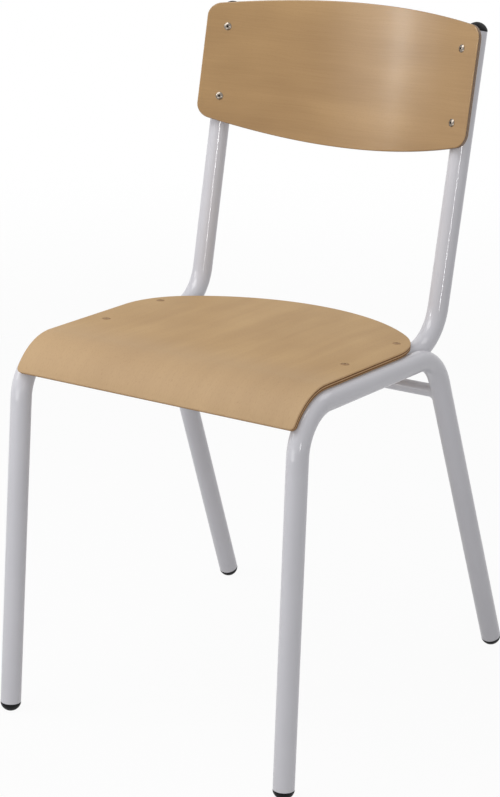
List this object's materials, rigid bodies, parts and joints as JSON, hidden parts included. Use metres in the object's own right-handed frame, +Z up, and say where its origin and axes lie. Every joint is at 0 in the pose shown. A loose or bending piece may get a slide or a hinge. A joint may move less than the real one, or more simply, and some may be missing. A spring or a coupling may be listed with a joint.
{
  "type": "school chair",
  "caption": "Classroom chair with a bent steel tube frame, a plywood seat rolled over at the front and a curved plywood backrest riveted to reclined uprights.",
  "frame": {"origin": "on the floor, under the middle of the chair's overall box", "axes": "+Z up, the sitter faces -Y, +X on the sitter's left"},
  "size_m": [0.4386, 0.516, 0.8172],
  "materials": {
    "frame_paint": "glossy light grey powder coat on steel tube",
    "plywood": "clear lacquered beech veneer on moulded plywood",
    "rivet_metal": "plain blind rivet, slightly dull",
    "pin_steel": "dark broken-off rivet pin",
    "cap_plastic": "black moulded plastic, faint sheen"
  },
  "bodies": {
    "root": {"side_frame_left": "frame_paint", "side_frame_right": "frame_paint", "back_upright_left": "frame_paint", "back_upright_right": "frame_paint", "rear_cross_tube": "frame_paint", "front_cross_tube": "frame_paint", "rear_cross_weld_left": "frame_paint", "rear_cross_weld_right": "frame_paint", "front_cross_weld_left": "frame_paint", "front_cross_weld_right": "frame_paint", "rail_welds_left": "frame_paint", "rail_welds_right": "frame_paint", "seat_panel": "plywood", "back_panel": "plywood", "seat_rivets": "rivet_metal", "seat_rivet_pins": "pin_steel", "back_rivets": "rivet_metal", "back_rivet_pins": "pin_steel", "foot_cap_front_left": "cap_plastic", "foot_cap_front_right": "cap_plastic", "foot_cap_rear_left": "cap_plastic", "foot_cap_rear_right": "cap_plastic", "upright_cap_left": "cap_plastic", "upright_cap_right": "cap_plastic", "bearer_plug_left": "cap_plastic", "bearer_plug_right": "cap_plastic"}
  },
  "joints": []
}
